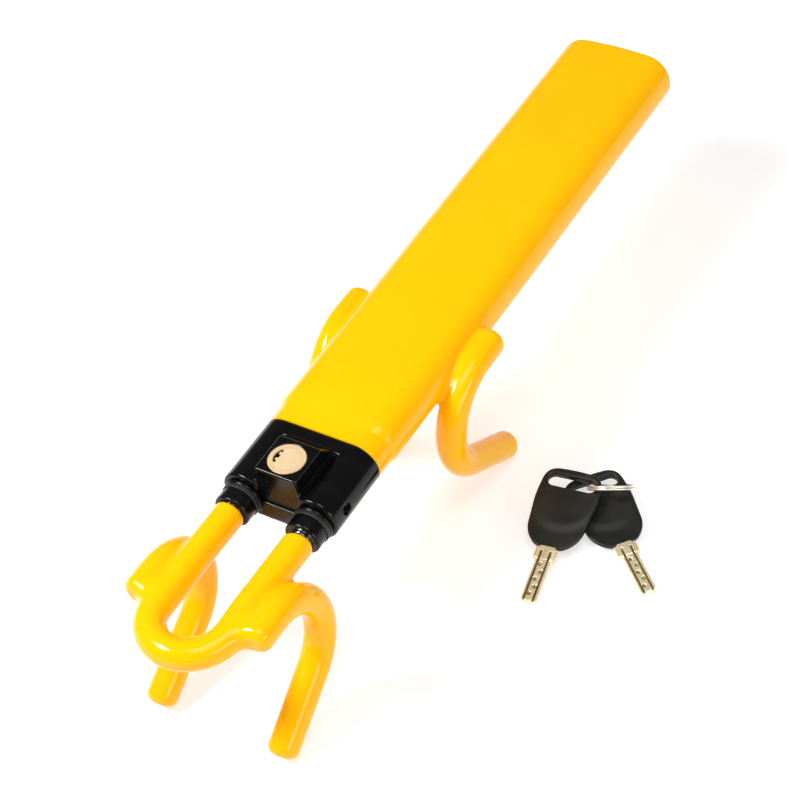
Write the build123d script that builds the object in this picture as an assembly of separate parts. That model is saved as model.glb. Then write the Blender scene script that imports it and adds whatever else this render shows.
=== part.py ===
"""Telescopic steering wheel lock with two pairs of hooks and two keys on a split ring.

A flattened steel tube, dipped in vinyl, carries the lock head. A U-shaped rod slides in the head and
the tube. Bolts driven by the key plug's cam lock it in notches filed along its legs.

Working frame, mm: X runs along the tube, 0 at its mouth, the closed end at +X. Y is to the left. Z is up,
out of the keyed face, 0 in the middle of the flattened tube. At the end every piece is moved so that the
origin is the bottom centre of everything. Left is +Y and right is -Y throughout."""
from build123d import *
import os
from math import cos, pi, radians, sin

# ---- driving dimensions: rods and skin
ROD_R = 12.7 / 2
ROD_SKIN = 1.6
SKIN_R = ROD_R + ROD_SKIN
LEG_Y = 20.0
ROD_Z = -1.0
BEND_X = -114.0
LEG_END_X = 290.0
TRAVEL = 220.0

# ---- tube
TUBE_W = 64.0
TUBE_T = 24.5
TUBE_WALL = 2.0
TUBE_X = 312.5
CAP_X = 322.3
CAP_ROUND = 4.0
SKIN = 1.5
BAND_SKIN = 0.4
BAND_X = 13.0
SLIP = 0.05

# ---- hooks, all four bent alike
BEND_R = 31.5
BEND_DEG = 147.0
HOOK_LEG = 41.9
HOOK_TIP_ROUND = 5.0
WELD_GAP = 0.02
FRONT_HOOK_X = -99.0
FRONT_STUB = 13.9
FRONT_TILT = 2.0
REAR_HOOK_X = 85.5
REAR_STUB = 16.4

# ---- lock head
HEAD_W = TUBE_W + 0.4
HEAD_T = TUBE_T + 0.4
HEAD_X = -40.0
SPIGOT_X = 22.0
SHOULDER_Y = (HEAD_W - HEAD_T) / 2
BOSS_SIDE = 23.0
BOSS_TOP = 21.0
KEY_X = -27.0
BOSS_DRAFT = 1.6
VALLEY_X = -8.0
LIP_TOP = ROD_Z
PLATE_T = 2.75
PLATE_TOP = PLATE_T - HEAD_T / 2
PLATE_BACK = -13.0
PLATE_HALF = 14.4
LIP_HALF = 12.2
BOSS_FOOT = 5.0
BOSS_UPRIGHT_Z = 9.0
PLATE_SCREW_X = 9.8
PLATE_SCREW_Y = 7.0
SCREW_HEAD_R = 2.8

# ---- key cylinder, cam and bolts
BARREL_R = 9.5
BARREL_LOW = -5.5
PLUG_R = 6.9
PLUG_TOP = BOSS_TOP - 0.1
PLUG_LOW = -4.5
NECK_R = 4.5
FIT = 0.05
CYLINDER_PIN_Z = 4.0
CYLINDER_PIN_R0 = 7.5
CYLINDER_PIN_LEN = 14.0
TANG = 1.8
CAM_R = 9.35
CAM_TOP = -5.65
CAM_LOW = -7.35
CAM_SCREW_R = 1.0
CAM_SCREW_TOP = -4.9
CAM_SCREW_HEAD = 1.45
BOLT_THROW = 3.0
BOLT_PIN_R = 1.1
BOLT_PIN_Y = 4.6
BOLT_PIN_SEAT = 0.6
BOLT_INNER_Y = 2.05
BOLT_HALF = 2.0
BOLT_REACH = 13.25
BOLT_LOW = -9.6
BOLT_TOP = 1.2
NOTCH_PITCH = 10.0
NOTCH_Y = 16.6
TUMBLERS = 5
TUMBLER_PITCH = 3.5
TUMBLER_TOP = 16.5
TUMBLER_R = 1.0
SPRING_R = 0.65
SPRING_PITCH = 0.45
SPRING_LEN = 0.8
SPRING_WIRE_R = 0.13

# ---- leg guides
BUSH_R = 9.5
BUSH_FRONT = -52.0
BUSH_BACK = -18.0
FLANGE_T = 2.0
FLANGE_STEP = 0.9
RING_T = 2.35
RING_STEP = 0.6
WINDOW_HALF = 2.6
LEG_CLEAR = 0.35
SIDE_SCREW_X = -29.0
SIDE_SCREW_Z = 2.0
SIDE_SCREW_R = 3.0
SIDE_SCREW_SUNK = 1.6
GUIDE_X = 46.0
GUIDE_T = 12.0
STOP_R = 8.8
STOP_T = 8.0
STOP_GAP = 0.2
PIN_R = 1.5
CROSS_PIN_R = 2.5
CROSS_PIN_Y = 6.0

# ---- keys
KEY_LEN = 79.5
BLADE_LEN = 25.2
BLADE_HALF = 4.1
BLADE_ARC_R = PLUG_R - 0.15
BLADE_CHORD = 4.25
KEY_MID = 5.5
SHOULDER_END = 32.0
SHOULDER_HALF = 6.0
HEAD_HALF = 2.2
RIM_HALF = 1.2
RIM_W = 1.5
PILLOW_EDGE = 0.9
TANG_END = SHOULDER_END + 12.0
TANG_HALF = 4.0
SHOULDER_T = 2.4
TANG_T = 2.0
DIMPLE_R = 1.5
DIMPLE_DEEP = 0.7
DIMPLE_PITCH = 4.4
DIMPLE_SIDE = (0.9, -0.8, 0.4, -0.9, 0.8)
KEY_SLOT_U = 72.0
KEY_SLOT = (26.0, 7.2)
KEY_A_TIP = (17.03, -96.87)
KEY_A_DEG = 8.36
KEY_A_TILT = 8.63
KEY_B_TIP = (47.92, -149.08)
KEY_B_DEG = 49.04
KEY_B_TILT = 3.6
RING_R = 12.35
RING_WIRE_R = 0.65
RING_CENTRE = (95.81, -104.72)
RING_LIFT = 10.29
RING_TILT = -46.41
RING_DEG = 116.19

SIDES = {"left": 1, "right": -1}


# ---- small helpers
def along_x(sketch, x0, x1):
    return extrude(Plane.YZ.offset(x0) * sketch, x1 - x0)


def stadium(width, thick, x0, x1):
    return along_x(SlotOverall(width, thick), x0, x1)


def block(x0, x1, y0, y1, z0, z1):
    box = Box(abs(x1 - x0), abs(y1 - y0), abs(z1 - z0))
    return Pos((x0 + x1) / 2, (y0 + y1) / 2, (z0 + z1) / 2) * box


def rod_x(radius, x0, x1, y, z):
    rod = Cylinder(radius, abs(x1 - x0), rotation=(0, 90, 0))
    return Pos((x0 + x1) / 2, y, z) * rod


def rod_y(radius, x, z, y0, y1):
    rod = Cylinder(radius, abs(y1 - y0), rotation=(90, 0, 0))
    return Pos(x, (y0 + y1) / 2, z) * rod


def rod_z(radius, x, y, z0, z1):
    return Pos(x, y, (z0 + z1) / 2) * Cylinder(radius, abs(z1 - z0))


def group(solids):
    return Compound(children=list(solids))


def flat_ends(solid):
    """The edges round the flat end faces of a swept bar."""
    return solid.faces().filter_by(GeomType.PLANE).edges()


# ---- rods: the U and the four hooks
def swept(curve, radius):
    path = Wire(curve.edges())
    section = Plane(origin=path @ 0, z_dir=path % 0) * Circle(radius)
    return sweep(section, path=path)


def u_bar(radius, left_x, right_x):
    legs = Line((left_x, LEG_Y), (BEND_X, LEG_Y))
    bend = CenterArc((BEND_X, 0), LEG_Y, 90, 180)
    back = Line((BEND_X, -LEG_Y), (right_x, -LEG_Y))
    return swept(Pos(0, 0, ROD_Z) * (legs + bend + back), radius)


def hook_bar(x, y, facing, tilt, stub, radius, extra=0.0):
    """A straight stub, a bend that turns down, and a free leg. facing is +1 where the bend heads for +X."""
    side = 1 if y > 0 else -1
    down = Vector(0, side * sin(radians(tilt)), -cos(radians(tilt)))
    ahead = Vector(facing, 0, 0)
    plane = Plane(origin=(x, y, ROD_Z), x_dir=ahead, z_dir=ahead.cross(down))
    start = Line((-stub - extra, 0), (0, 0))
    bend = CenterArc((0, BEND_R), BEND_R, -90, BEND_DEG)
    leg = PolarLine(bend @ 1, HOOK_LEG + extra, direction=bend % 1)
    return swept(plane * (start + bend + leg), radius)


def front_hook(side, radius=ROD_R, extra=0.0):
    y = side * (LEG_Y + 2 * ROD_R + WELD_GAP)
    return hook_bar(FRONT_HOOK_X, y, 1, FRONT_TILT, FRONT_STUB, radius, extra)


def rear_hook(side, radius=ROD_R, extra=0.0):
    y = side * (TUBE_W / 2 + ROD_R + WELD_GAP)
    return hook_bar(REAR_HOOK_X, y, -1, 0, REAR_STUB, radius, extra)


def rounded_bar(bar):
    return fillet(flat_ends(bar), HOOK_TIP_ROUND)


def leg_notches(side):
    """Saw-tooth notches: a square face stops the rod from going in, a ramp lets it come out."""
    half = BOLT_HALF + 0.4
    depth = NOTCH_Y - (LEG_Y - ROD_R)
    open_y = LEG_Y - ROD_R - 1
    ramp = depth + 1
    profile = Polyline(
        (-half, side * open_y), (-half, side * NOTCH_Y), (half, side * NOTCH_Y), (half + ramp, side * open_y),
        close=True)
    cutter = extrude(Plane.XY.offset(ROD_Z - ROD_R) * make_face(profile), 2 * ROD_R)
    count = round(TRAVEL / NOTCH_PITCH) + 1
    return [Pos(KEY_X + n * NOTCH_PITCH, 0, 0) * cutter for n in range(count)]


def stop_pin_holes():
    return [rod_z(PIN_R, stop_x() + STOP_T / 2, s * LEG_Y, -HEAD_T, HEAD_T) for s in SIDES.values()]


def u_rod():
    bar = u_bar(ROD_R, LEG_END_X, LEG_END_X)
    bar = chamfer(flat_ends(bar), 1.0)
    return bar - leg_notches(1) - leg_notches(-1) - stop_pin_holes()


def front_skin():
    """The skin on the U stops just short of one bush and a little further from the other."""
    return u_bar(SKIN_R, BUSH_FRONT - 0.3, BUSH_FRONT - 4)


def front_coat():
    skin = front_skin() - u_bar(ROD_R, 0, 0)
    for side in SIDES.values():
        skin -= front_hook(side)
    return skin


def front_hook_coat(side):
    skin = rounded_bar(front_hook(side, SKIN_R, ROD_SKIN))
    return skin - front_hook(side) - front_skin()


def stop_x():
    """Where each stop collar begins: just short of the guide block when the rod is fully out."""
    return GUIDE_X + GUIDE_T + TRAVEL + STOP_GAP


def rod_stop(side):
    collar = rod_x(STOP_R, stop_x(), stop_x() + STOP_T, side * LEG_Y, ROD_Z)
    collar = chamfer(collar.edges().filter_by(GeomType.CIRCLE), 0.5)
    collar -= rod_x(ROD_R, stop_x() - 1, stop_x() + STOP_T + 1, side * LEG_Y, ROD_Z)
    return collar - stop_pin_holes()


def rod_stop_pins():
    x = stop_x() + STOP_T / 2
    reach = STOP_R - 0.3
    return group(rod_z(PIN_R, x, s * LEG_Y, ROD_Z - reach, ROD_Z + reach) for s in SIDES.values())


# ---- tube
def cross_pins(x):
    return [rod_z(CROSS_PIN_R, x, s * CROSS_PIN_Y, -TUBE_T / 2, TUBE_T / 2) for s in (1, -1)]


def all_cross_pins():
    return cross_pins(SPIGOT_X / 2) + cross_pins(GUIDE_X + GUIDE_T / 2)


def tube_shell():
    hollow = stadium(TUBE_W - 2 * TUBE_WALL, TUBE_T - 2 * TUBE_WALL, -1, TUBE_X + 1)
    return stadium(TUBE_W, TUBE_T, 0, TUBE_X) - hollow - all_cross_pins()


def cap_outside():
    cap = stadium(TUBE_W, TUBE_T, TUBE_X, CAP_X)
    return fillet(cap.faces().sort_by(Axis.X)[-1].edges(), CAP_ROUND)


def tube_end_cap():
    plug_w = TUBE_W - 2 * TUBE_WALL - 2 * SLIP
    plug_t = TUBE_T - 2 * TUBE_WALL - 2 * SLIP
    return cap_outside() + stadium(plug_w, plug_t, TUBE_X - TUBE_WALL * 3, TUBE_X)


def tube_skin():
    """The outside of the dipped tube: thick skin, and a thin band at the mouth."""
    main = stadium(TUBE_W + 2 * SKIN, TUBE_T + 2 * SKIN, BAND_X, CAP_X + SKIN)
    main = fillet(main.faces().sort_by(Axis.X)[-1].edges(), CAP_ROUND + SKIN)
    main = fillet(main.faces().sort_by(Axis.X)[0].edges(), 0.9)
    return main + stadium(TUBE_W + 2 * BAND_SKIN, TUBE_T + 2 * BAND_SKIN, 0, BAND_X)


def tube_coat():
    coat = tube_skin() - stadium(TUBE_W, TUBE_T, 0, TUBE_X) - cap_outside()
    for side in SIDES.values():
        coat -= rear_hook(side)
    return coat


def rear_hook_coat(side):
    skin = rounded_bar(rear_hook(side, SKIN_R, ROD_SKIN))
    return skin - rear_hook(side) - tube_skin()


# ---- lock head
def key_boss():
    """A square key boss: upright in front, 45 degrees behind, slightly drafted sides."""
    front = KEY_X - BOSS_SIDE / 2
    back = KEY_X + BOSS_SIDE / 2
    foot = back + BOSS_TOP - HEAD_T / 2
    side_view = Polyline(
        (front, BOSS_FOOT), (front, BOSS_TOP), (back, BOSS_TOP), (foot, HEAD_T / 2), (foot, BOSS_FOOT), close=True)
    boss = extrude(Plane.XZ * make_face(side_view), BOSS_SIDE, both=True)
    top = BOSS_SIDE / 2
    base = top + BOSS_DRAFT
    half_view = [(base, BOSS_FOOT), (base, BOSS_UPRIGHT_Z), (top, BOSS_TOP)]
    other_half = [(-y, z) for y, z in reversed(half_view)]
    end_view = Polyline(*half_view, *other_half, close=True)
    boss &= along_x(make_face(end_view), HEAD_X, 0)
    upright = boss.edges().filter_by(lambda e: e.bounding_box().size.Z > 5)
    boss = fillet([e for e in upright if e.center().Z > BOSS_UPRIGHT_Z], 1.2)
    return fillet(boss.faces().sort_by(Axis.Z)[-1].edges(), 0.8)


def valley(side):
    """Between the boss and each round shoulder over a leg."""
    y0, y1 = sorted((side * (BOSS_SIDE / 2 + BOSS_DRAFT), side * SHOULDER_Y))
    trough = block(HEAD_X - 1, VALLEY_X, y0, y1, BOSS_FOOT, BOSS_TOP)
    return trough - rod_x(HEAD_T / 2, HEAD_X - 2, VALLEY_X + 1, side * SHOULDER_Y, 0)


def head_outside():
    head = stadium(HEAD_W, HEAD_T, HEAD_X, 0)
    head = fillet(head.faces().sort_by(Axis.X)[0].edges(), 1.5)
    for side in SIDES.values():
        head -= valley(side)
    return head


def bolt_channel():
    y = BOLT_REACH + BOLT_THROW + 0.1
    return block(KEY_X - BOLT_HALF - FIT, KEY_X + BOLT_HALF + FIT, -y, y, PLATE_TOP, BOLT_TOP + 0.1)


def plate_screw_places():
    return [(KEY_X + sx * PLATE_SCREW_X, sy * PLATE_SCREW_Y) for sx in (1, -1) for sy in (1, -1)]


def lock_housing():
    spigot_w = TUBE_W - 2 * TUBE_WALL - 2 * SLIP
    spigot_t = TUBE_T - 2 * TUBE_WALL - 2 * SLIP
    body = head_outside() + stadium(spigot_w, spigot_t, 0, SPIGOT_X) + key_boss()
    boss_front = KEY_X - BOSS_SIDE / 2
    body -= block(HEAD_X - 1, boss_front, -LIP_HALF, LIP_HALF, -HEAD_T, BOSS_TOP)
    body -= block(HEAD_X - 1, PLATE_BACK, -PLATE_HALF, PLATE_HALF, -HEAD_T, PLATE_TOP)
    for side in SIDES.values():
        body -= rod_x(BUSH_R, HEAD_X - 1, BUSH_BACK, side * LEG_Y, ROD_Z)
        body -= rod_x(ROD_R + LEG_CLEAR, BUSH_BACK - 1, SPIGOT_X + 1, side * LEG_Y, ROD_Z)
        body -= rod_y(SIDE_SCREW_R, SIDE_SCREW_X, SIDE_SCREW_Z, side * LEG_Y, side * HEAD_W)
    body -= rod_z(BARREL_R, KEY_X, 0, CAM_LOW - 0.1, BOSS_TOP + 1)
    body -= bolt_channel()
    body -= rod_x(PIN_R, KEY_X + BARREL_R - 1, SPIGOT_X + 1, 0, CYLINDER_PIN_Z)
    body -= cross_pins(SPIGOT_X / 2)
    return body - [rod_z(PIN_R, x, y, PLATE_TOP - 1, BARREL_LOW) for x, y in plate_screw_places()]


def base_plate():
    """Closes the bolt chamber from below. Its front lip stands up between the two bushes."""
    bottom = -HEAD_T / 2
    plate = block(HEAD_X, PLATE_BACK - FIT, FIT - PLATE_HALF, PLATE_HALF - FIT, bottom, PLATE_TOP)
    lip = block(HEAD_X, KEY_X - BOSS_SIDE / 2, FIT - LIP_HALF, LIP_HALF - FIT, bottom, LIP_TOP)
    plate += lip - [rod_x(BUSH_R + FIT, HEAD_X - 1, HEAD_X + 3, s * LEG_Y, ROD_Z) for s in SIDES.values()]
    low_front = plate.edges().filter_by(Axis.Y).sort_by(lambda e: e.center().X + e.center().Z)[0]
    plate = fillet(low_front, 1.2)
    for x, y in plate_screw_places():
        plate -= rod_z(PIN_R, x, y, bottom - 1, PLATE_TOP + 1)
        plate -= Pos(x, y, bottom) * screw_cone()
    return plate


def screw_cone():
    return Cone(SCREW_HEAD_R, PIN_R, SCREW_HEAD_R - PIN_R, align=(Align.CENTER, Align.CENTER, Align.MIN))


def hex_socket(across_flats, depth):
    flat_radius = across_flats / 2 / cos(pi / 6)
    return extrude(RegularPolygon(flat_radius, 6), depth)


def base_plate_screws():
    bottom = -HEAD_T / 2
    screw = screw_cone() + rod_z(PIN_R, 0, 0, 0, BARREL_LOW - bottom)
    screw -= hex_socket(2.0, 1.4)
    return group(Pos(x, y, bottom) * screw for x, y in plate_screw_places())


def rod_bush(side):
    y = side * LEG_Y
    sleeve = rod_x(BUSH_R, BUSH_FRONT, BUSH_BACK, y, ROD_Z)
    sleeve = fillet(sleeve.faces().sort_by(Axis.X)[0].edges(), 1.0)
    sleeve += rod_x(BUSH_R + FLANGE_STEP, HEAD_X - FLANGE_T, HEAD_X, y, ROD_Z)
    sleeve -= rod_x(ROD_R + FIT, BUSH_FRONT - 1, BUSH_BACK + 1, y, ROD_Z)
    inner = side * (LEG_Y - BUSH_R - 1)
    outer = side * (BOLT_REACH + BOLT_THROW + 0.1)
    low = ROD_Z - BUSH_R - 1
    return sleeve - block(KEY_X - WINDOW_HALF, KEY_X + WINDOW_HALF, inner, outer, low, BOLT_TOP + 0.45)


def bush_ring(side):
    """A rubber wiper that sits against the bush's flange."""
    back = HEAD_X - FLANGE_T - 0.05
    front = back - RING_T
    ring = rod_x(BUSH_R + RING_STEP, front, back, side * LEG_Y, ROD_Z)
    ring = fillet(ring.edges().filter_by(GeomType.CIRCLE), 0.4)
    return ring - rod_x(BUSH_R, front - 1, HEAD_X, side * LEG_Y, ROD_Z)


def bush_screw(side):
    """A grub screw that holds the bush, sunk in the side of the head."""
    outer = HEAD_W / 2 - SIDE_SCREW_SUNK
    screw = rod_y(SIDE_SCREW_R - 0.03, SIDE_SCREW_X, SIDE_SCREW_Z, side * (LEG_Y + 6), side * outer)
    screw -= rod_x(BUSH_R + 0.01, HEAD_X, BUSH_BACK, side * LEG_Y, ROD_Z)
    plane = Plane(origin=(SIDE_SCREW_X, side * outer, SIDE_SCREW_Z), z_dir=(0, -side, 0))
    return screw - plane * hex_socket(3.0, 1.0)


# ---- key cylinder, cam and bolts
def tumbler_heights():
    return [TUMBLER_TOP - n * TUMBLER_PITCH for n in range(TUMBLERS)]


def cylinder_barrel():
    barrel = rod_z(BARREL_R, KEY_X, 0, BARREL_LOW, BOSS_TOP)
    barrel = chamfer(barrel.faces().sort_by(Axis.Z)[-1].edges(), 0.3)
    barrel -= rod_z(PLUG_R + FIT, KEY_X, 0, PLUG_LOW - FIT, BOSS_TOP + 1)
    barrel -= rod_z(NECK_R + FIT, KEY_X, 0, BARREL_LOW - 1, 0)
    barrel -= rod_x(PIN_R, KEY_X + CYLINDER_PIN_R0, KEY_X + BARREL_R + 1, 0, CYLINDER_PIN_Z)
    return barrel - [rod_y(TUMBLER_R, KEY_X, z, PLUG_R - 1, BARREL_R + 1) for z in tumbler_heights()]


def cylinder_pin():
    start = KEY_X + CYLINDER_PIN_R0 + 0.1
    return rod_x(PIN_R, start, start + CYLINDER_PIN_LEN, 0, CYLINDER_PIN_Z)


def blade_section(grow=0.0):
    """The key blade across: a slice off a round bar, with two grooves in its flat face.
    Sketch X is across the blade and Y is the distance from the cylinder's axis."""
    half = BLADE_HALF + grow
    outer = make_face(Circle(BLADE_ARC_R + grow).edges()) & Pos(0, BLADE_ARC_R) * Rectangle(2 * half, 20)
    slice_off = outer & Pos(0, BLADE_CHORD - grow + 10) * Rectangle(30, 20)
    groove_top = KEY_MID - 0.05 - grow
    groove_low = BLADE_CHORD - 1
    for s in (1, -1):
        groove = Rectangle(1.6 - 2 * grow, groove_top - groove_low)
        slice_off -= Pos(s * 1.9, (groove_top + groove_low) / 2) * groove
    return slice_off


def cylinder_plug():
    plug = rod_z(PLUG_R, KEY_X, 0, PLUG_LOW, PLUG_TOP)
    plug += rod_z(NECK_R, KEY_X, 0, CAM_TOP + 0.02, PLUG_LOW)
    plug += block(KEY_X - TANG, KEY_X + TANG, -TANG, TANG, CAM_LOW, CAM_TOP + 0.02)
    keyway = extrude(blade_section(0.1), PLUG_TOP - PLUG_LOW)
    plug -= Pos(KEY_X, 0, PLUG_LOW) * keyway
    return plug - rod_z(CAM_SCREW_R, KEY_X, 0, CAM_LOW - 1, CAM_SCREW_TOP)


def spiral_points(offset):
    """Points of the cam slot's edge: the radius grows evenly over a quarter turn."""
    steps = 8
    rate = BOLT_THROW / steps
    turn = [90 + 90 * n / steps for n in range(steps + 1)]
    radii = [BOLT_PIN_Y + rate * n + offset for n in range(steps + 1)]
    return [(r * cos(radians(a)), r * sin(radians(a))) for r, a in zip(radii, turn)]


def cam_slot():
    half = BOLT_PIN_R + 0.25
    inner = Spline(*spiral_points(-half))
    outer = Spline(*spiral_points(half))
    start = Line(inner @ 0, outer @ 0)
    end = Line(inner @ 1, outer @ 1)
    slot = make_face(inner + outer + start + end)
    for a, r in ((90, BOLT_PIN_Y), (180, BOLT_PIN_Y + BOLT_THROW)):
        slot += Pos(r * cos(radians(a)), r * sin(radians(a))) * Circle(half)
    return slot


def cam_disc():
    disc = Circle(CAM_R) - Rectangle(2 * TANG, 2 * TANG)
    disc -= cam_slot()
    disc -= Rot(0, 0, 180) * cam_slot()
    return Pos(KEY_X, 0, CAM_LOW) * extrude(disc, CAM_TOP - CAM_LOW)


def cam_screw():
    head = rod_z(TANG, KEY_X, 0, CAM_LOW - CAM_SCREW_HEAD, CAM_LOW)
    return head + rod_z(CAM_SCREW_R, KEY_X, 0, CAM_LOW, CAM_SCREW_TOP)


def pawl(side):
    """An L-shaped bolt: a tail under the cam and an arm that stands beside the barrel."""
    x0 = KEY_X - BOLT_HALF
    x1 = KEY_X + BOLT_HALF
    tail = block(x0, x1, side * BOLT_INNER_Y, side * BOLT_REACH, BOLT_LOW, CAM_LOW - 0.15)
    arm = block(x0, x1, side * (BARREL_R + 0.25), side * BOLT_REACH, BOLT_LOW, BOLT_TOP)
    bolt = tail + arm
    nose = bolt.edges().filter_by(Axis.Z).sort_by(lambda e: e.center().X + side * e.center().Y)[-1]
    bolt = chamfer(nose, 1.5)
    return bolt - rod_z(BOLT_PIN_R, KEY_X, side * BOLT_PIN_Y, BOLT_LOW + BOLT_PIN_SEAT, 0)


def pawl_pin(side):
    return rod_z(BOLT_PIN_R, KEY_X, side * BOLT_PIN_Y, BOLT_LOW + BOLT_PIN_SEAT, CAM_TOP - 0.15)


def tumbler_pins():
    pins = [rod_y(TUMBLER_R - FIT, KEY_X, z, PLUG_R + 0.15, PLUG_R + 1.35) for z in tumbler_heights()]
    return group(pins)


def tumbler_springs():
    coil = Helix(SPRING_PITCH, SPRING_LEN, SPRING_R)
    section = Plane(origin=coil @ 0, z_dir=coil % 0) * Circle(SPRING_WIRE_R)
    wire = sweep(section, path=Wire(coil.edges()), is_frenet=True)
    stand = Rot(-90, 0, 0) * wire
    return group(Pos(KEY_X, PLUG_R + 1.55, z) * stand for z in tumbler_heights())


def guide_block():
    body = stadium(TUBE_W - 2 * TUBE_WALL - 0.2, TUBE_T - 2 * TUBE_WALL - 0.2, GUIDE_X, GUIDE_X + GUIDE_T)
    for side in SIDES.values():
        body -= rod_x(ROD_R + LEG_CLEAR, GUIDE_X - 1, GUIDE_X + GUIDE_T + 1, side * LEG_Y, ROD_Z)
    return body - cross_pins(GUIDE_X + GUIDE_T / 2)


# ---- keys, in their own frame: X from the tip to the head, Y across, Z up, 0 in the middle of the key
def key_head_outline():
    """A rounded shield: narrow at the blade, widest near the far end, with a slightly crowned end."""
    corners = [(SHOULDER_END, 6.5, 1.5), (38.6, 14.4, 7.0), (62, 16.6, 60.0), (KEY_LEN - 1.0, 15.4, 6.5)]
    half = [(u, v) for u, v, _ in corners]
    mirrored = [(u, -v) for u, v in reversed(half)]
    outline = make_face(Polyline(*half, (KEY_LEN + 0.2, 0), *mirrored, close=True))
    for u, v, radius in corners:
        at_corner = [p for p in outline.vertices() if abs(p.X - u) < 0.01 and abs(abs(p.Y) - v) < 0.01]
        outline = fillet(at_corner, radius)
    crown = outline.vertices().sort_by(Axis.X)[-1]
    return fillet(crown, 40)


def key_tang():
    """The flat tongue by which the head holds the blade."""
    return block(SHOULDER_END - 1, TANG_END, -TANG_HALF, TANG_HALF, -TANG_T / 2, TANG_T / 2)


def key_blade():
    ribs_up = mirror(Pos(0, -KEY_MID) * blade_section(), Plane.XZ)
    bar = extrude(Plane.YZ * ribs_up, BLADE_LEN + 1, dir=(1, 0, 0))
    bar = chamfer(bar.faces().sort_by(Axis.X)[0].edges().sort_by(Axis.Z)[-3:], 0.4)
    shoulder = block(BLADE_LEN, SHOULDER_END, -SHOULDER_HALF, SHOULDER_HALF, -SHOULDER_T / 2, SHOULDER_T / 2)
    bar += shoulder + key_tang()
    dimple_z = KEY_MID - BLADE_CHORD + DIMPLE_R - DIMPLE_DEEP
    dimples = [Pos((n + 1) * DIMPLE_PITCH, v, dimple_z) * Sphere(DIMPLE_R) for n, v in enumerate(DIMPLE_SIDE)]
    return bar - dimples


def key_head():
    outline = key_head_outline()
    rim = extrude(outline, RIM_HALF, both=True)
    pillow = extrude(offset(outline, -RIM_W), HEAD_HALF, both=True)
    head = rim + fillet(pillow.faces().filter_by(Axis.Z).edges(), PILLOW_EDGE)
    slot = extrude(Pos(KEY_SLOT_U, 0) * Rot(0, 0, 90) * SlotOverall(*KEY_SLOT), 2 * HEAD_HALF, both=True)
    return head - slot - key_tang()


def floor_z():
    """The level of the lowest points, under the rear hooks' tips."""
    return rear_hook_coat(1).bounding_box().min.Z


def tip_lift(floor):
    return floor + KEY_MID - BLADE_CHORD + 0.2


def key_a_place(floor):
    """Its head rests on the ring and its tip on the floor."""
    return Pos(*KEY_A_TIP, tip_lift(floor)) * Rot(0, 0, KEY_A_DEG) * Rot(0, -KEY_A_TILT, 0)


def key_b_place(floor):
    """Its head rests on the ring and its tip on the floor."""
    return Pos(*KEY_B_TIP, tip_lift(floor)) * Rot(0, 0, KEY_B_DEG) * Rot(0, -KEY_B_TILT, 0)


def key_ring(floor):
    """Two turns of wire lying against each other, leaning on the floor through both keys' slots."""
    place = Pos(*RING_CENTRE, floor + RING_LIFT) * Rot(0, 0, RING_DEG) * Rot(-RING_TILT, 0, 0)
    turn = Torus(RING_R, RING_WIRE_R)
    gap = RING_WIRE_R - 0.03
    return place * (Pos(0, 0, gap) * turn + Pos(0, 0, -gap) * turn)


def lock_pieces():
    pieces = {
        "tube_shell": tube_shell(), "tube_end_cap": tube_end_cap(), "tube_coat": tube_coat(),
        "lock_housing": lock_housing(), "housing_pins": group(cross_pins(SPIGOT_X / 2)),
        "base_plate": base_plate(), "base_plate_screws": base_plate_screws(),
        "cylinder_barrel": cylinder_barrel(), "cylinder_pin": cylinder_pin(),
        "tumbler_pins": tumbler_pins(), "tumbler_springs": tumbler_springs(),
        "guide_block": guide_block(), "guide_block_pins": group(cross_pins(GUIDE_X + GUIDE_T / 2)),
        "u_rod": u_rod(), "front_coat": front_coat(), "rod_stop_pins": rod_stop_pins(),
        "cylinder_plug": cylinder_plug(), "cam_disc": cam_disc(), "cam_screw": cam_screw(),
    }
    handed = {
        "rear_hook": rear_hook, "rear_hook_coat": rear_hook_coat, "rod_bush": rod_bush, "bush_ring": bush_ring,
        "bush_screw": bush_screw, "front_hook": front_hook, "front_hook_coat": front_hook_coat,
        "rod_stop": rod_stop, "pawl": pawl, "pawl_pin": pawl_pin,
    }
    for name, make in handed.items():
        for hand, side in SIDES.items():
            pieces[f"{name}_{hand}"] = make(side)
    return pieces


def key_pieces():
    floor = floor_z()
    pieces = {"key_ring": key_ring(floor)}
    for name, place in (("key_a", key_a_place(floor)), ("key_b", key_b_place(floor))):
        pieces[f"{name}_head"] = place * key_head()
        pieces[f"{name}_blade"] = place * key_blade()
    return pieces


def origin_shift(pieces):
    boxes = [piece.bounding_box() for piece in pieces.values()]
    x0 = min(box.min.X for box in boxes)
    x1 = max(box.max.X for box in boxes)
    y0 = min(box.min.Y for box in boxes)
    y1 = max(box.max.Y for box in boxes)
    return Pos(-(x0 + x1) / 2, -(y0 + y1) / 2, -min(box.min.Z for box in boxes))


def main():
    pieces = {**lock_pieces(), **key_pieces()}
    shift = origin_shift(pieces)
    print("origin shift", shift.position)
    os.makedirs("parts", exist_ok=True)
    for name, piece in pieces.items():
        export_step(shift * piece, f"parts/{name}.step")


if __name__ == "__main__":
    main()
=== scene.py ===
"""Looks for the twin-hook steering wheel lock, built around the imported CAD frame.

Sizes are in mm in a working frame whose X runs along the tube: 0 at the tube's mouth, +Y left,
+Z up, and Z = 0 in the middle of the flattened tube. place() turns them into the row frame, in
metres."""
import math

import bmesh
import bpy
import numpy as np
import openvdb as vdb
from mathutils import Matrix, Vector


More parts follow.
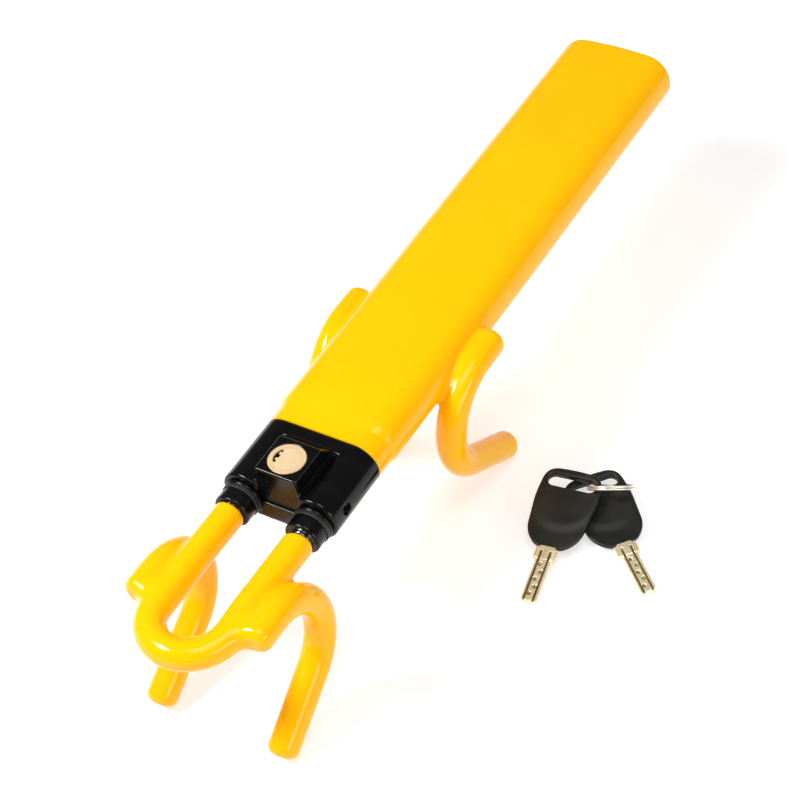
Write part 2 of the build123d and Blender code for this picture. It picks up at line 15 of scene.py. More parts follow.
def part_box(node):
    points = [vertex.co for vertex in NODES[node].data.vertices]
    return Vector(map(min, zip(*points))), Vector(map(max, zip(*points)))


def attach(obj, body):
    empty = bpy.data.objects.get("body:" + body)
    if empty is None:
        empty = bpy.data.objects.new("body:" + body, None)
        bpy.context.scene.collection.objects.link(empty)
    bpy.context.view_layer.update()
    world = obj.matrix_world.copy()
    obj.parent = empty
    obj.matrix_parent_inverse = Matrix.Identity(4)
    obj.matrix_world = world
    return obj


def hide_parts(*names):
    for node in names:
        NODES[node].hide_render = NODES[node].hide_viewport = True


MM = 0.001

# ---- sizes shared with the CAD model
SKIN_R = 7.95
LEG_Y = 20.0
ROD_Z = -1.0
BEND_X = -114.0
TUBE_W = 64.0
TUBE_T = 24.5
SKIN = 1.5
TUBE_HALF = TUBE_W / 2 + SKIN
HOLLOW_W = 59.2
HOLLOW_T = 19.8
BAND_SKIN = 0.9
BAND_X = 13.0
CAP_X = 322.3
CAP_ROUND = 1.3
CAP_BOW = 0.8
CAP_WALL = 15
DOME = 2.0
DOME_RUN = 150
BEND_R = 31.5
BEND_DEG = 147.0
HOOK_LEG = 41.9
TIP_ROUND = 5.0
END_SKIN = 1.6
FRONT_HOOK = {"x": -99.0, "y": 32.72, "facing": 1, "tilt": 2.0, "stub": 13.9}
REAR_HOOK = {"x": 85.5, "y": 38.37, "facing": -1, "tilt": 0.0, "stub": 16.4}
KEY_X = -27.0
BOSS_TOP = 21.0
FACE_SINK = 0.1
RING_R = 12.35
RING_WIRE_R = 0.62
RING_CENTRE = (95.81, -104.72)
RING_LIFT = 10.29
RING_TILT = -46.41
RING_DEG = 116.19
KEY_TIP_LIFT = 1.45
KEYS = {"a": {"tip": (17.03, -96.87), "deg": 8.36, "tilt": 8.63},
        "b": {"tip": (47.92, -149.08), "deg": 49.04, "tilt": 3.6}}
SIDES = {"left": 1, "right": -1}

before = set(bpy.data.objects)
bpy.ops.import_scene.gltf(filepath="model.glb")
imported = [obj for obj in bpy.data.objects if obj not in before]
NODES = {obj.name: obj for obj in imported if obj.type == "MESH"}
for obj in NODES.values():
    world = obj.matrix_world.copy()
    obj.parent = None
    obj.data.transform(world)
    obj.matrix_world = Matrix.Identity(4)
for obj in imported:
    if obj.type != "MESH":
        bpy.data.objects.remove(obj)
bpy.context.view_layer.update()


def tube_mouth():
    """The working frame's origin: the middle of the tube's open end."""
    low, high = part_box("tube_coat")
    return np.array([low.x, (low.y + high.y) / 2, (low.z + high.z) / 2])


ORIGIN = tube_mouth()
FLOOR_Z = -ORIGIN[2] / MM


def place(points):
    return ORIGIN + np.asarray(points, float) * MM


# ---- distance fields, in mm: negative inside
def smooth_min(a, b, k):
    h = np.maximum(k - np.abs(a - b), 0.0) / k
    return np.minimum(a, b) - h * h * k / 4


def smooth_max(a, b, k):
    return -smooth_min(-a, -b, k)


def smooth_step(t):
    t = np.clip(t, 0.0, 1.0)
    return t * t * (3 - 2 * t)


def cross(side, end, r):
    """Where two faces meet at a right angle, with the edge rounded to r."""
    a = side + r
    b = end + r
    return np.hypot(np.maximum(a, 0), np.maximum(b, 0)) + np.minimum(np.maximum(a, b), 0) - r


def stadium(y, z, width, thick):
    """A flattened tube's outline: flat faces with half-round sides."""
    return np.hypot(np.maximum(np.abs(y) - (width - thick) / 2, 0), z) - thick / 2


def waves(p, length, size, seed):
    """Low, long unevenness of a dipped skin."""
    rng = np.random.default_rng(seed)
    total = np.zeros(len(p))
    for _ in range(6):
        direction = rng.normal(size=3)
        direction /= np.linalg.norm(direction)
        k = 2 * math.pi / (length * rng.uniform(0.7, 1.5))
        total += np.sin(p @ direction * k + rng.uniform(0, 6.28))
    return total * size / 6


def blob(p, centre, radii):
    q = (p - np.array(centre)) / np.array(radii)
    return (np.linalg.norm(q, axis=1) - 1) * min(radii)


def hook_field(p, side, shape):
    """A bar: a stub, a bend that turns down and back, and a free leg, with rounded ends."""
    tilt = math.radians(shape["tilt"])
    down = np.array([0, side * math.sin(tilt), -math.cos(tilt)])
    rel = p - np.array([shape["x"], side * shape["y"], ROD_Z])
    a = shape["facing"] * rel[:, 0]
    d = rel @ down
    n = rel @ np.cross([1.0, 0, 0], down)
    stub = cross(np.hypot(d, n) - SKIN_R, -a - shape["stub"] - END_SKIN, TIP_ROUND)
    stub = np.maximum(stub, a)
    turn = math.radians(BEND_DEG)
    angle = np.clip(np.arctan2(a, BEND_R - d), 0, turn)
    bend_a = a - BEND_R * np.sin(angle)
    bend_d = d - BEND_R * (1 - np.cos(angle))
    bend = np.sqrt(bend_a ** 2 + bend_d ** 2 + n ** 2) - SKIN_R
    end_a = a - BEND_R * math.sin(turn)
    end_d = d - BEND_R * (1 - math.cos(turn))
    along = end_a * math.cos(turn) + end_d * math.sin(turn)
    off = end_d * math.cos(turn) - end_a * math.sin(turn)
    leg = cross(np.hypot(off, n) - SKIN_R, along - HOOK_LEG - END_SKIN, TIP_ROUND)
    leg = np.maximum(leg, -along)
    return np.minimum(np.minimum(stub, bend), leg)


LEFT_SKIN_END = 52.5
RIGHT_SKIN_END = 55.6
SKIN_LIP = 1.1


def u_field(p):
    """The skinned U. Its skin ends just short of the left bush and a little further from the
    right one, where the cut is slightly askew."""
    x, y, z = p.T
    leg = np.hypot(np.abs(y) - LEG_Y, z - ROD_Z) - SKIN_R
    left_end = x + LEFT_SKIN_END
    right_end = x + RIGHT_SKIN_END + 0.18 * (y + LEG_Y) - 0.12 * (z - ROD_Z)
    leg = cross(leg, np.where(y > 0, left_end, right_end), SKIN_LIP)
    bend = np.hypot(np.hypot(x - BEND_X, y) - LEG_Y, z - ROD_Z) - SKIN_R
    return np.where(x < BEND_X, bend, leg)


WEB = 3.5
WEB_GAIN = 4.0
SHRINK = 0.1
DRIPS = ((BEND_X - 21.0, -4.0, -7.7), (BEND_X - 15.0, 13.5, -7.8))
DRIP_SIZE = (1.6, 2.2, 1.4)


def rod_skin_field(p):
    """The U and its two hooks in one skin, with wider webs towards the hooks' stubs and two drips."""
    body = u_field(p)
    web = WEB + WEB_GAIN * smooth_step((FRONT_HOOK["x"] + 3 - p[:, 0]) / 12)
    for side in SIDES.values():
        body = smooth_min(body, hook_field(p, side, FRONT_HOOK), web)
    for drip in DRIPS:
        body = smooth_min(body, blob(p, drip, DRIP_SIZE), WEB)
    return body + SHRINK + waves(p, 26, 0.16, 3)


def tube_skin_field(p):
    """The tube and its two hooks in one skin: a thinner band at the mouth, a slight crown that
    rises from it, a bowed far end, and the hollow that the steel tube fills."""
    x, y, z = p.T
    step = smooth_step((x - BAND_X + 3.5) / 7.0)
    band = BAND_SKIN - 0.6 * smooth_step((np.abs(y) - 18) / 10)
    skin = band + (SKIN - band) * step
    across = (y / TUBE_HALF) ** 2
    crown = DOME * np.clip(x / DOME_RUN, 0, 1) * np.maximum(1 - across, 0)
    body = stadium(y, z, TUBE_W, TUBE_T) - skin - crown
    bow = CAP_X + SKIN - 0.15 - CAP_BOW * across
    body = cross(body, x - bow, CAP_ROUND + SKIN)
    for side in SIDES.values():
        body = smooth_min(body, hook_field(p, side, REAR_HOOK) + SHRINK, WEB)
    body = body + waves(p, 45, 0.14, 5) * smooth_step((x - BAND_X) / 20)
    hollow = cross(stadium(y, z, HOLLOW_W, HOLLOW_T), x - CAP_X + CAP_WALL, 2.0)
    return smooth_max(body, -hollow, 0.5)


# ---- the keys, each in its own frame: u from the blade's tip, v across, w up through it
HEAD_TAIL = 32.0
HEAD_CROWN = 79.7
SHOULDER_AT = (38.6, 14.4)
WIDEST_AT = (62, 16.6)
HEAD_SIDES = (((HEAD_TAIL, 6.5), SHOULDER_AT), (SHOULDER_AT, WIDEST_AT), (WIDEST_AT, (78.5, 15.4)))
HEAD_ROUNDS = (5.0, 0.9)
CROWN_CURVE = 190
PLATEAU = 2.2
RIM = 1.15
PAD_HALF = 14.4
PAD_LENGTH = 15.5
PAD_FADE = 0.34
SLOT_AT = 72
SLOT_HALF = 9.4
SLOT_R = 3.6


def key_head_field(p):
    """A moulded head: a raised pad on both faces, a thinner rim, and a slot for the ring."""
    u, v, w = p.T
    v = np.abs(v)
    lines = []
    for (u0, v0), (u1, v1) in HEAD_SIDES:
        run = math.hypot(u1 - u0, v1 - v0)
        lines.append(((v - v0) * (u1 - u0) - (u - u0) * (v1 - v0)) / run)
    outline = smooth_max(smooth_max(lines[0], lines[1], HEAD_ROUNDS[0]), lines[2], HEAD_ROUNDS[1])
    outline = smooth_max(outline, u - HEAD_CROWN + v * v / CROWN_CURVE, 7.0)
    outline = smooth_max(outline, HEAD_TAIL - u, 2.2)
    pad = np.hypot(np.maximum(WIDEST_AT[0] - u, 0) / PAD_LENGTH, v / PAD_HALF)
    fall = smooth_max(smooth_min((pad - 1) / PAD_FADE, 1.0, 0.3), 0.0, 0.3)
    height = PLATEAU - (PLATEAU - RIM) * fall
    body = cross(outline, np.abs(w) - height, 0.8)
    slot = np.hypot(np.maximum(v - SLOT_HALF, 0), u - SLOT_AT) - SLOT_R
    return smooth_max(body, -slot, 1.1)


BLADE_HALF = 4.05
BLADE_FACE = 1.2
BLADE_ROOT = 33
SHOULDER_HALF = 5.9
SHOULDER_MIDDLE = 28.6
SHOULDER_REACH = 3.4
GROOVE_Y = 2.45
GROOVE_HALF = 0.6
GROOVE_DEPTH = 0.85
GROOVE_END = 30
DIMPLE_SIDE = (0.9, -0.8, 0.4, -0.9, 0.8)
DIMPLE_PITCH = 4.4
DIMPLE_R = 1.45
DIMPLE_LIFT = 0.75


def key_blade_field(p):
    """A flat milled blade with shoulders, two long grooves and a zig-zag row of dimples."""
    u, v, w = p.T
    side = np.abs(v)
    face = np.abs(w) - BLADE_FACE
    blade = cross(side - BLADE_HALF, face, 0.45)
    blade = smooth_max(blade, -u, 0.8)
    blade = smooth_max(blade, u - BLADE_ROOT, 0.3)
    plan = np.maximum(side - SHOULDER_HALF, np.abs(u - SHOULDER_MIDDLE) - SHOULDER_REACH)
    shoulder = cross(plan, face, 0.4)
    body = smooth_min(blade, shoulder, 0.8)
    groove = cross(np.abs(side - GROOVE_Y) - GROOVE_HALF, BLADE_FACE - GROOVE_DEPTH - np.abs(w), 0.2)
    body = smooth_max(body, -np.maximum(groove, u - GROOVE_END), 0.15)
    for n, at in enumerate(DIMPLE_SIDE):
        along = u - (n + 1) * DIMPLE_PITCH
        above = np.abs(w) - BLADE_FACE - DIMPLE_LIFT
        dimple = np.sqrt(along ** 2 + (v - at) ** 2 + above ** 2) - DIMPLE_R
        body = smooth_max(body, -dimple, 0.12)
    return body


# ---- from a field to a mesh
BLOCK = 4  # the side of a block, in grid steps


def field_grid(field, low, high, step):
    """The field on a grid: worked out in full only in the blocks near its surface."""
    low = np.array(low, float)
    counts = np.ceil((np.array(high) - low) / (step * BLOCK)).astype(int)
    band = 3 * step
    middle = np.stack(np.meshgrid(*[np.arange(n) for n in counts], indexing="ij"), -1).reshape(-1, 3)
    coarse = field(low + (middle * BLOCK + (BLOCK - 1) / 2) * step)
    near = np.abs(coarse) < step * BLOCK * 1.25 + band
    values = np.where(coarse > 0, band, -band)

    def spread(a):
        a = a.reshape(counts)
        for axis in range(3):
            a = np.repeat(a, BLOCK, axis)
        return a

    grid = spread(values)
    mask = spread(near)
    where = np.argwhere(mask)
    grid[mask] = np.clip(field(low + where * step), -band, band)
    return grid, low, band


def gradient(field, p, h):
    axes = np.eye(3) * h
    return np.stack([field(p + a) - field(p - a) for a in axes], 1) / (2 * h)


def field_mesh(name, field, low, high, step, pose=None, pull=3):
    """A mesh of the field's surface, with its points pulled onto it, then moved by pose if any."""
    grid, low, band = field_grid(field, low, high, step)
    volume = vdb.FloatGrid(band)
    volume.copyFromArray(grid.astype(np.float32))
    points, quads = volume.convertToQuads(isovalue=0.0)
    points = low + np.array(points, float) * step
    for _ in range(pull):
        slope = gradient(field, points, 0.05)
        size = np.maximum((slope ** 2).sum(1), 0.2)
        move = slope * (field(points) / size)[:, None]
        points -= np.clip(move, -step, step)
    if pose is not None:
        points = pose(points)
    return mesh_object(name, points, quads)


def mesh_object(name, points, faces):
    """A mesh from points in mm, with its faces turned outwards and smooth."""
    mesh = bpy.data.meshes.new(name)
    mesh.from_pydata(place(points).tolist(), [], [list(map(int, f)) for f in faces])
    bm = bmesh.new()
    bm.from_mesh(mesh)
    bmesh.ops.recalc_face_normals(bm, faces=bm.faces)
    bm.to_mesh(mesh)
    bm.free()
    mesh.shade_smooth()
    obj = bpy.data.objects.new(name, mesh)
    bpy.context.scene.collection.objects.link(obj)
    return obj


def cut_mouth(obj):
    """Cuts the tube's skin square at the mouth and closes the cut between outside and hollow."""
    bm = bmesh.new()
    bm.from_mesh(obj.data)
    everything = bm.verts[:] + bm.edges[:] + bm.faces[:]
    bmesh.ops.bisect_plane(
        bm, geom=everything, plane_co=Vector(ORIGIN), plane_no=(-1, 0, 0), clear_outer=True)
    rim = [e for e in bm.edges if e.is_boundary]
    bmesh.ops.triangle_fill(bm, edges=rim, use_beauty=True)
    bmesh.ops.recalc_face_normals(bm, faces=bm.faces)
    bm.to_mesh(obj.data)
    bm.free()
    obj.data.shade_smooth()
    obj.data.set_sharp_from_angle(angle=math.radians(50))


# ---- node helpers
def shader(name):
    mat = bpy.data.materials.new(name)
    mat.use_nodes = True
    tree = mat.node_tree
    return mat, tree, tree.nodes["Principled BSDF"]


def add(tree, kind, values=None, **settings):
    node = tree.nodes.new(kind)
    for key, value in settings.items():
        setattr(node, key, value)
    for key, value in (values or {}).items():
        node.inputs[key].default_value = value
    return node


def coords(tree, scale=(1, 1, 1)):
    where = add(tree, "ShaderNodeTexCoord")
    fit = add(tree, "ShaderNodeMapping", {"Scale": scale})
    tree.links.new(where.outputs["Object"], fit.inputs["Vector"])
    return fit.outputs["Vector"]


def noise(tree, vector, scale, detail=3.0, rough=0.5):
    node = add(tree, "ShaderNodeTexNoise", {"Scale": scale, "Detail": detail, "Roughness": rough})
    tree.links.new(vector, node.inputs["Vector"])
    return node.outputs["Fac"]


def ramp(tree, factor, stops):
    """Colours or greys by position along the factor."""
    node = add(tree, "ShaderNodeValToRGB")
    band = node.color_ramp
    while len(band.elements) < len(stops):
        band.elements.new(0.5)
    for element, (position, colour) in zip(band.elements, stops):
        element.position = position
        element.color = (*colour, 1) if hasattr(colour, "__len__") else (colour, colour, colour, 1)
    tree.links.new(factor, node.inputs["Fac"])
    return node.outputs["Color"]


def bump(tree, height, distance, strength=1.0, before=None):
    node = add(tree, "ShaderNodeBump", {"Strength": strength, "Distance": distance})
    tree.links.new(height, node.inputs["Height"])
    if before is not None:
        tree.links.new(before, node.inputs["Normal"])
    return node.outputs["Normal"]


def vinyl():
    """Thick glossy dipped vinyl, a little uneven in colour and gloss, with a faint orange peel."""
    mat, tree, surface = shader("yellow_vinyl")
    vector = coords(tree)
    cloud = noise(tree, vector, 28, 4)
    colour = ramp(tree, cloud, [(0.3, (0.96, 0.455, 0.0005)), (0.7, (0.98, 0.475, 0.0008))])
    tree.links.new(colour, surface.inputs["Base Color"])
    gloss = noise(tree, vector, 90, 5, 0.6)
    tree.links.new(ramp(tree, gloss, [(0.3, 0.08), (0.75, 0.13)]), surface.inputs["Roughness"])
    peel = bump(tree, noise(tree, vector, 420, 2), 0.00004, 0.3)
    slow = bump(tree, noise(tree, vector, 70, 2), 0.0002, 0.2, peel)
    tree.links.new(slow, surface.inputs["Normal"])
    surface.inputs["IOR"].default_value = 1.45
    surface.inputs["Specular IOR Level"].default_value = 0.3
    surface.inputs["Subsurface Weight"].default_value = 0.12
    surface.inputs["Subsurface Radius"].default_value = (1.0, 0.6, 0.1)
    surface.inputs["Subsurface Scale"].default_value = 0.002
    return mat


def black_paint(name, rough_low, rough_high, wear):
    mat, tree, surface = shader(name)
    vector = coords(tree)
    cloud = noise(tree, vector, 120, 5, 0.6)
    colour = ramp(tree, cloud, [(0.35, (0.0025, 0.0024, 0.0026)), (0.75, (0.005, 0.0048, 0.0046))])
    tree.links.new(colour, surface.inputs["Base Color"])
    tree.links.new(ramp(tree, cloud, [(0.3, rough_low), (0.8, rough_high)]), surface.inputs["Roughness"])
    cast = bump(tree, noise(tree, vector, 260, 3), 0.00012, wear)
    fine = bump(tree, noise(tree, vector, 1500, 2), 0.00002, 0.4, cast)
    tree.links.new(fine, surface.inputs["Normal"])
    surface.inputs["Specular IOR Level"].default_value = 0.25
    return mat


def turned_brass(name, centre, tone, metal):
    """Pale brass with fine rings about the lock's axis, with painted shade that darkens it towards near
    black down in the keyway.
    """
    mat, tree, surface = shader(name)
    vector = coords(tree)
    shift = add(tree, "ShaderNodeVectorMath", operation="SUBTRACT")
    tree.links.new(vector, shift.inputs[0])
    shift.inputs[1].default_value = centre
    flat = add(tree, "ShaderNodeVectorMath", operation="MULTIPLY")
    flat.inputs[1].default_value = (1, 1, 0)
    tree.links.new(shift.outputs[0], flat.inputs[0])
    radius = add(tree, "ShaderNodeVectorMath", operation="LENGTH")
    tree.links.new(flat.outputs[0], radius.inputs[0])
    rings = add(tree, "ShaderNodeTexNoise", {"Scale": 5200.0, "Detail": 2.0}, noise_dimensions="1D")
    tree.links.new(radius.outputs["Value"], rings.inputs["W"])
    spots = noise(tree, vector, 300, 4)
    colour = ramp(tree, spots, [(0.3, [c * 0.93 for c in tone]), (0.7, tone)])
    # Painted shade: below the face the brass is mixed towards near black, and the deeper it lies the
    # darker it gets.
    height = add(tree, "ShaderNodeSeparateXYZ")
    tree.links.new(shift.outputs[0], height.inputs[0])
    shade_depth = add(tree, "ShaderNodeMapRange", {"From Min": -0.0012, "From Max": -0.0002})
    tree.links.new(height.outputs["Z"], shade_depth.inputs["Value"])
    shade = add(tree, "ShaderNodeMix", data_type="RGBA")
    shade.inputs[6].default_value = (0.012, 0.006, 0.003, 1)
    tree.links.new(shade_depth.outputs["Result"], shade.inputs[0])
    tree.links.new(colour, shade.inputs[7])
    tree.links.new(shade.outputs[2], surface.inputs["Base Color"])
    tree.links.new(ramp(tree, spots, [(0.3, 0.36), (0.7, 0.5)]), surface.inputs["Roughness"])
    tree.links.new(bump(tree, rings.outputs["Fac"], 0.00004, 0.5), surface.inputs["Normal"])
    surface.inputs["Metallic"].default_value = metal
    return mat


def key_brass(name, dark, light):
    """Milled brass with faint tool marks."""
    mat, tree, surface = shader(name)
    vector = coords(tree)
    marks = noise(tree, coords(tree, (1, 1, 0.3)), 500, 2, 0.4)
    colour = ramp(tree, noise(tree, vector, 110, 3), [(0.3, dark), (0.7, light)])
    tree.links.new(colour, surface.inputs["Base Color"])
    tree.links.new(ramp(tree, marks, [(0.3, 0.22), (0.7, 0.3)]), surface.inputs["Roughness"])
    tree.links.new(bump(tree, marks, 0.00001, 0.3), surface.inputs["Normal"])
    surface.inputs["Metallic"].default_value = 0.6
    return mat


def key_plastic():
    """Black moulded plastic: satin, fine spark texture, a little paler where thumbs rub it."""
    mat, tree, surface = shader("key_plastic")
    vector = coords(tree)
    rub = noise(tree, vector, 60, 4)
    colour = ramp(tree, rub, [(0.35, (0.006, 0.0064, 0.0055)), (0.7, (0.012, 0.0124, 0.0108))])
    tree.links.new(colour, surface.inputs["Base Color"])
    tree.links.new(ramp(tree, rub, [(0.3, 0.36), (0.75, 0.5)]), surface.inputs["Roughness"])
    tree.links.new(bump(tree, noise(tree, vector, 2600, 2), 0.00003, 0.5), surface.inputs["Normal"])
    surface.inputs["Specular IOR Level"].default_value = 0.35
    return mat


def metal(name, tone, rough_low, rough_high, stretch, scale=900):
    """Plain metal with fine marks that run along one direction."""
    mat, tree, surface = shader(name)
    marks = noise(tree, coords(tree, stretch), scale, 4, 0.6)
    colour = ramp(tree, marks, [(0.3, [c * 0.9 for c in tone]), (0.7, tone)])
    tree.links.new(colour, surface.inputs["Base Color"])
    tree.links.new(ramp(tree, marks, [(0.3, rough_low), (0.7, rough_high)]), surface.inputs["Roughness"])
    tree.links.new(bump(tree, marks, 0.00002, 0.4), surface.inputs["Normal"])
    surface.inputs["Metallic"].default_value = 1.0
    return mat


def rubber():
    mat, tree, surface = shader("wiper_rubber")
    vector = coords(tree)
    dust = noise(tree, vector, 500, 4)
    tree.links.new(ramp(tree, dust, [(0.3, 0.008), (0.8, 0.016)]), surface.inputs["Base Color"])
    tree.links.new(ramp(tree, dust, [(0.3, 0.45), (0.8, 0.65)]), surface.inputs["Roughness"])
    tree.links.new(bump(tree, dust, 0.00008, 0.4), surface.inputs["Normal"])
    return mat


def floor_white():
    mat, tree, surface = shader("floor_white")
    vector = coords(tree)
    tone = ramp(tree, noise(tree, vector, 3, 2), [(0.3, 0.50), (0.7, 0.52)])
    tree.links.new(tone, surface.inputs["Base Color"])
    surface.inputs["Roughness"].default_value = 0.9
    surface.inputs["Specular IOR Level"].default_value = 0.1
    surface.inputs["Emission Color"].default_value = (1, 1, 1, 1)
    surface.inputs["Emission Strength"].default_value = 0.62
    return mat


def dress(obj, mat):
    if not obj.data.materials:
        obj.data.materials.append(mat)
    for index in range(len(obj.data.materials)):
        obj.data.materials[index] = mat


# ---- pieces
ROD_BOX = ((-152, -50, -94), (-48, 50, 14))
TUBE_BOX = ((-5, -50, -94), (327, 50, 20))
KEY_HEAD_BOX = ((31, -18, -3), (81, 18, 3))
KEY_BLADE_BOX = ((-1, -7, -2), (35, 7, 2))


def rod_skin(mat):
    piece = field_mesh("rod_skin", rod_skin_field, *ROD_BOX, 0.8)
    dress(piece, mat)
    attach(piece, "sliding_rod")
    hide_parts("front_coat", "front_hook_coat_left", "front_hook_coat_right")


def tube_skin(mat):
    piece = field_mesh("tube_skin", tube_skin_field, *TUBE_BOX, 1.0)
    cut_mouth(piece)
    dress(piece, mat)
    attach(piece, "tube_and_head")
    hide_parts("tube_coat", "rear_hook_coat_left", "rear_hook_coat_right")


def softened(name, node, voxel, passes):
    """A copy of a CAD node with its edges broken, as on a thickly painted casting."""
    mesh = NODES[node].data.copy()
    mesh.name = name
    piece = bpy.data.objects.new(name, mesh)
    bpy.context.scene.collection.objects.link(piece)
    weld = piece.modifiers.new("weld", "WELD")
    weld.merge_threshold = 0.00001
    remesh = piece.modifiers.new("remesh", "REMESH")
    remesh.mode = "VOXEL"
    remesh.voxel_size = voxel * MM
    smooth = piece.modifiers.new("smooth", "SMOOTH")
    smooth.iterations = passes
    smooth.factor = 0.5
    graph = bpy.context.evaluated_depsgraph_get()
    done = bpy.data.meshes.new_from_object(piece.evaluated_get(graph))
    piece.modifiers.clear()
    piece.data = done
    piece.data.shade_smooth()
    return piece


CAST_VOXEL = 0.4


def castings(paint, bush_paint):
    for node, passes, mat in (
        ("lock_housing", 5, paint), ("base_plate", 4, paint),
        ("rod_bush_left", 4, bush_paint), ("rod_bush_right", 4, bush_paint),
    ):
        piece = softened(f"{node}_cast", node, CAST_VOXEL, passes)
        dress(piece, mat)
        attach(piece, "tube_and_head")
        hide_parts(node)


def key_pose(key):
    """Takes points from a key's own frame, with its tip at the origin, to where it lies."""
    shape = KEYS[key]
    heading = Matrix.Rotation(math.radians(shape["deg"]), 3, "Z")
    turn = heading @ Matrix.Rotation(math.radians(-shape["tilt"]), 3, "Y")
    tip = np.array([*shape["tip"], FLOOR_Z + KEY_TIP_LIFT])
    return lambda points: points @ np.array(turn).T + tip


def key_heads(mat):
    for key in KEYS:
        piece = field_mesh(f"key_{key}_grip", key_head_field, *KEY_HEAD_BOX, 0.4, key_pose(key))
        dress(piece, mat)
        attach(piece, f"key_{key}")
        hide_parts(f"key_{key}_head")


def in_groove_shade(u, v, w):
    """Whether a point of a key's blade is down in its grooves or dimples, which are given painted shade.
    """
    return abs(w) < BLADE_FACE - 0.22 and abs(v) < BLADE_HALF - 0.5 and 0.6 < u < 31


def key_blades(faces, groove_shade):
    """The blades are made in their own frame, to tell faces from grooves and dimples, and then laid
    down; the grooves and dimples get a near-black brass as painted shade.
    """
    for key in KEYS:
        piece = field_mesh(f"key_{key}_blank", key_blade_field, *KEY_BLADE_BOX, 0.25)
        piece.data.materials.append(faces)
        piece.data.materials.append(groove_shade)
        for face in piece.data.polygons:
            # Faces down in the grooves and dimples take the second, near-black brass: painted shade.
            face.material_index = int(in_groove_shade(*((np.array(face.center) - ORIGIN) / MM)))
        pose = key_pose(key)
        for vertex in piece.data.vertices:
            vertex.co = place(pose((np.array(vertex.co) - ORIGIN) / MM))
        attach(piece, f"key_{key}")
        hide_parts(f"key_{key}_blade")


def ring_frame():
    """The ring's place: its axis is local Z, leaning from upright, and the frame is in metres."""
    centre = place([*RING_CENTRE, FLOOR_Z + RING_LIFT])
    heading = Matrix.Rotation(math.radians(RING_DEG), 4, "Z")
    turn = heading @ Matrix.Rotation(math.radians(-RING_TILT), 4, "X")
    return Matrix.Translation(Vector(centre)) @ turn


RING_TURNS = 1.86
RING_STEPS = 200
RING_AROUND = 12
RING_LAYER = RING_WIRE_R * 1.03
CROSSING_FROM = 0.88
CROSSING_RUN = 0.105


def coil_points():
    """Circles of points along a wire wound nearly twice round: it steps from the lower layer to
    the upper one in a short crossing, and its ends are blunt."""
    points = []
    for n in range(RING_STEPS + 1):
        angle = 2 * math.pi * RING_TURNS * n / RING_STEPS
        crossing = (n / RING_STEPS * RING_TURNS - CROSSING_FROM) / CROSSING_RUN
        height = RING_LAYER * (2 * min(max(crossing, 0.0), 1.0) - 1)
        settle = min(1.0, n / 4, (RING_STEPS - n) / 4)
        wire = RING_WIRE_R * math.sqrt(max(settle, 0.02))
        for k in range(RING_AROUND):
            t = 2 * math.pi * k / RING_AROUND
            r = RING_R + wire * math.cos(t)
            points.append((r * math.cos(angle), r * math.sin(angle), height + wire * math.sin(t)))
    return points


def coil_faces():
    """Quads between the circles, and a face on each end of the wire."""
    faces = []
    for n in range(RING_STEPS):
        for k in range(RING_AROUND):
            a = n * RING_AROUND + k
            b = n * RING_AROUND + (k + 1) % RING_AROUND
            faces.append((a, b, b + RING_AROUND, a + RING_AROUND))
    faces.append(tuple(range(RING_AROUND))[::-1])
    faces.append(tuple(range(RING_STEPS * RING_AROUND, (RING_STEPS + 1) * RING_AROUND)))
    return faces


def split_ring(mat):
    mesh = bpy.data.meshes.new("split_ring")
    mesh.from_pydata([tuple(c * MM for c in point) for point in coil_points()], [], coil_faces())
    mesh.transform(ring_frame())
    mesh.shade_smooth()
    piece = bpy.data.objects.new("split_ring", mesh)
    bpy.context.scene.collection.objects.link(piece)
    dress(piece, mat)
    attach(piece, "key_ring")
    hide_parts("key_ring")


def finishes():
    """Gives every CAD node a material; it shows on the nodes that no new piece replaces."""
    axis = tuple(place([KEY_X, 0, BOSS_TOP - FACE_SINK]))
    steel = metal("dull_steel", (0.50, 0.50, 0.52), 0.3, 0.45, (1, 1, 1))
    looks = {
        "tube_shell": metal("tube_steel", (0.6, 0.5, 0.2), 0.35, 0.5, (0.1, 1, 1)),
        "u_rod": metal("rod_chrome", (0.95, 0.95, 0.96), 0.09, 0.17, (0.08, 1, 1)),
        "cylinder_barrel": turned_brass("barrel_brass", axis, (0.72, 0.52, 0.30), 0.2),
        "cylinder_plug": turned_brass("plug_brass", axis, (0.76, 0.56, 0.33), 0.2),
        "key_head": key_plastic(),
        "bush_ring": rubber(),
    }
    looks["tube_end_cap"] = looks["tube_shell"]
    looks["bush_screw"] = black_paint("screw_black", 0.25, 0.4, 0.5)
    looks["base_plate_screws"] = looks["bush_screw"]
    looks["guide_block"] = rubber()
    looks["guide_block"].name = "guide_nylon"
    looks["tumbler_pins"] = key_brass("tumbler_brass", (0.62, 0.46, 0.2), (0.8, 0.64, 0.34))
    looks["key_blade"] = looks["tumbler_pins"]
    for name, obj in NODES.items():
        plain = name.replace("key_a_", "key_").replace("key_b_", "key_")
        plain = plain.removesuffix("_left").removesuffix("_right")
        dress(obj, looks.get(plain, steel))


# ---- stage
CAMERA_AT = (-553.88, -467.72, 766.70)
CAMERA_RIGHT = (0.500889, -0.858136, -0.112749)
CAMERA_UP = (0.661231, 0.295352, 0.689595)
CAMERA_BACK = (-0.558466, -0.419963, 0.715364)
CAMERA_LENS = 97.608
SENSOR = 36


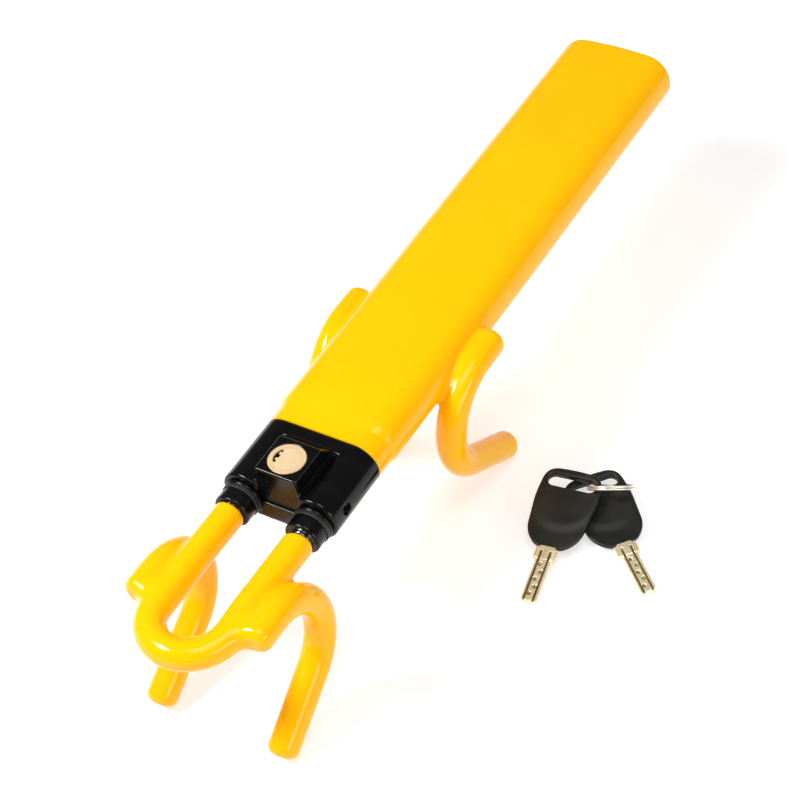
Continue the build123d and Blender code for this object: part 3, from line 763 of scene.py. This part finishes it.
def camera():
    data = bpy.data.cameras.new("camera")
    data.sensor_width = SENSOR
    data.lens = CAMERA_LENS
    obj = bpy.data.objects.new("camera", data)
    turn = Matrix((CAMERA_RIGHT, CAMERA_UP, CAMERA_BACK)).transposed().to_4x4()
    obj.matrix_world = Matrix.Translation(Vector(place(CAMERA_AT))) @ turn
    bpy.context.scene.collection.objects.link(obj)
    bpy.context.scene.camera = obj


def area_light(name, direction, distance, size, power, target=(40, -10, -30)):
    """A soft box that looks at the lock. direction is from the lock towards the light."""
    data = bpy.data.lights.new(name, "AREA")
    data.shape = "RECTANGLE"
    data.size, data.size_y = size
    data.energy = power
    obj = bpy.data.objects.new(name, data)
    towards = Vector(direction).normalized()
    obj.location = Vector(place(target)) + towards * distance
    obj.rotation_euler = towards.to_track_quat("Z", "Y").to_euler()
    bpy.context.scene.collection.objects.link(obj)


FLOOR_SIZE = 12
FLOOR_DROP = 0.0003
WORLD_LIGHT = 0.14


def stage():
    """A pale floor just under the lock, a dim white world and three soft boxes."""
    bpy.ops.mesh.primitive_plane_add(size=FLOOR_SIZE)
    ground = bpy.context.object
    ground.name = "floor"
    ground.location = (0, 0, -FLOOR_DROP)
    dress(ground, floor_white())
    world = bpy.data.worlds.new("world")
    bpy.context.scene.world = world
    world.use_nodes = True
    world.node_tree.nodes["Background"].inputs["Color"].default_value = (1, 1, 1, 1)
    world.node_tree.nodes["Background"].inputs["Strength"].default_value = WORLD_LIGHT
    area_light("key_light", (-0.41, 0.47, 0.78), 1.5, (0.5, 0.36), 25)
    area_light("top_light", (-0.1, -0.25, 1.0), 1.9, (1.4, 0.9), 16)
    area_light("side_light", (-0.25, -1.0, 0.35), 1.5, (1.2, 0.5), 9)
    view = bpy.context.scene.view_settings
    view.view_transform = "Standard"


def main():
    camera()
    yellow = vinyl()
    finishes()
    rod_skin(yellow)
    tube_skin(yellow)
    castings(black_paint("head_black", 0.1, 0.2, 0.35), black_paint("bush_black", 0.16, 0.3, 0.5))
    key_heads(key_plastic())
    # The blades' second, near-black brass is painted shade for their grooves and dimples.
    key_blades(
        key_brass("key_brass", (0.78, 0.67, 0.42), (0.89, 0.80, 0.55)),
        key_brass("key_brass_hollows", (0.16, 0.12, 0.05), (0.34, 0.26, 0.13)))
    split_ring(metal("ring_steel", (0.90, 0.86, 0.76), 0.25, 0.38, (1, 1, 1)))
    stage()


main()
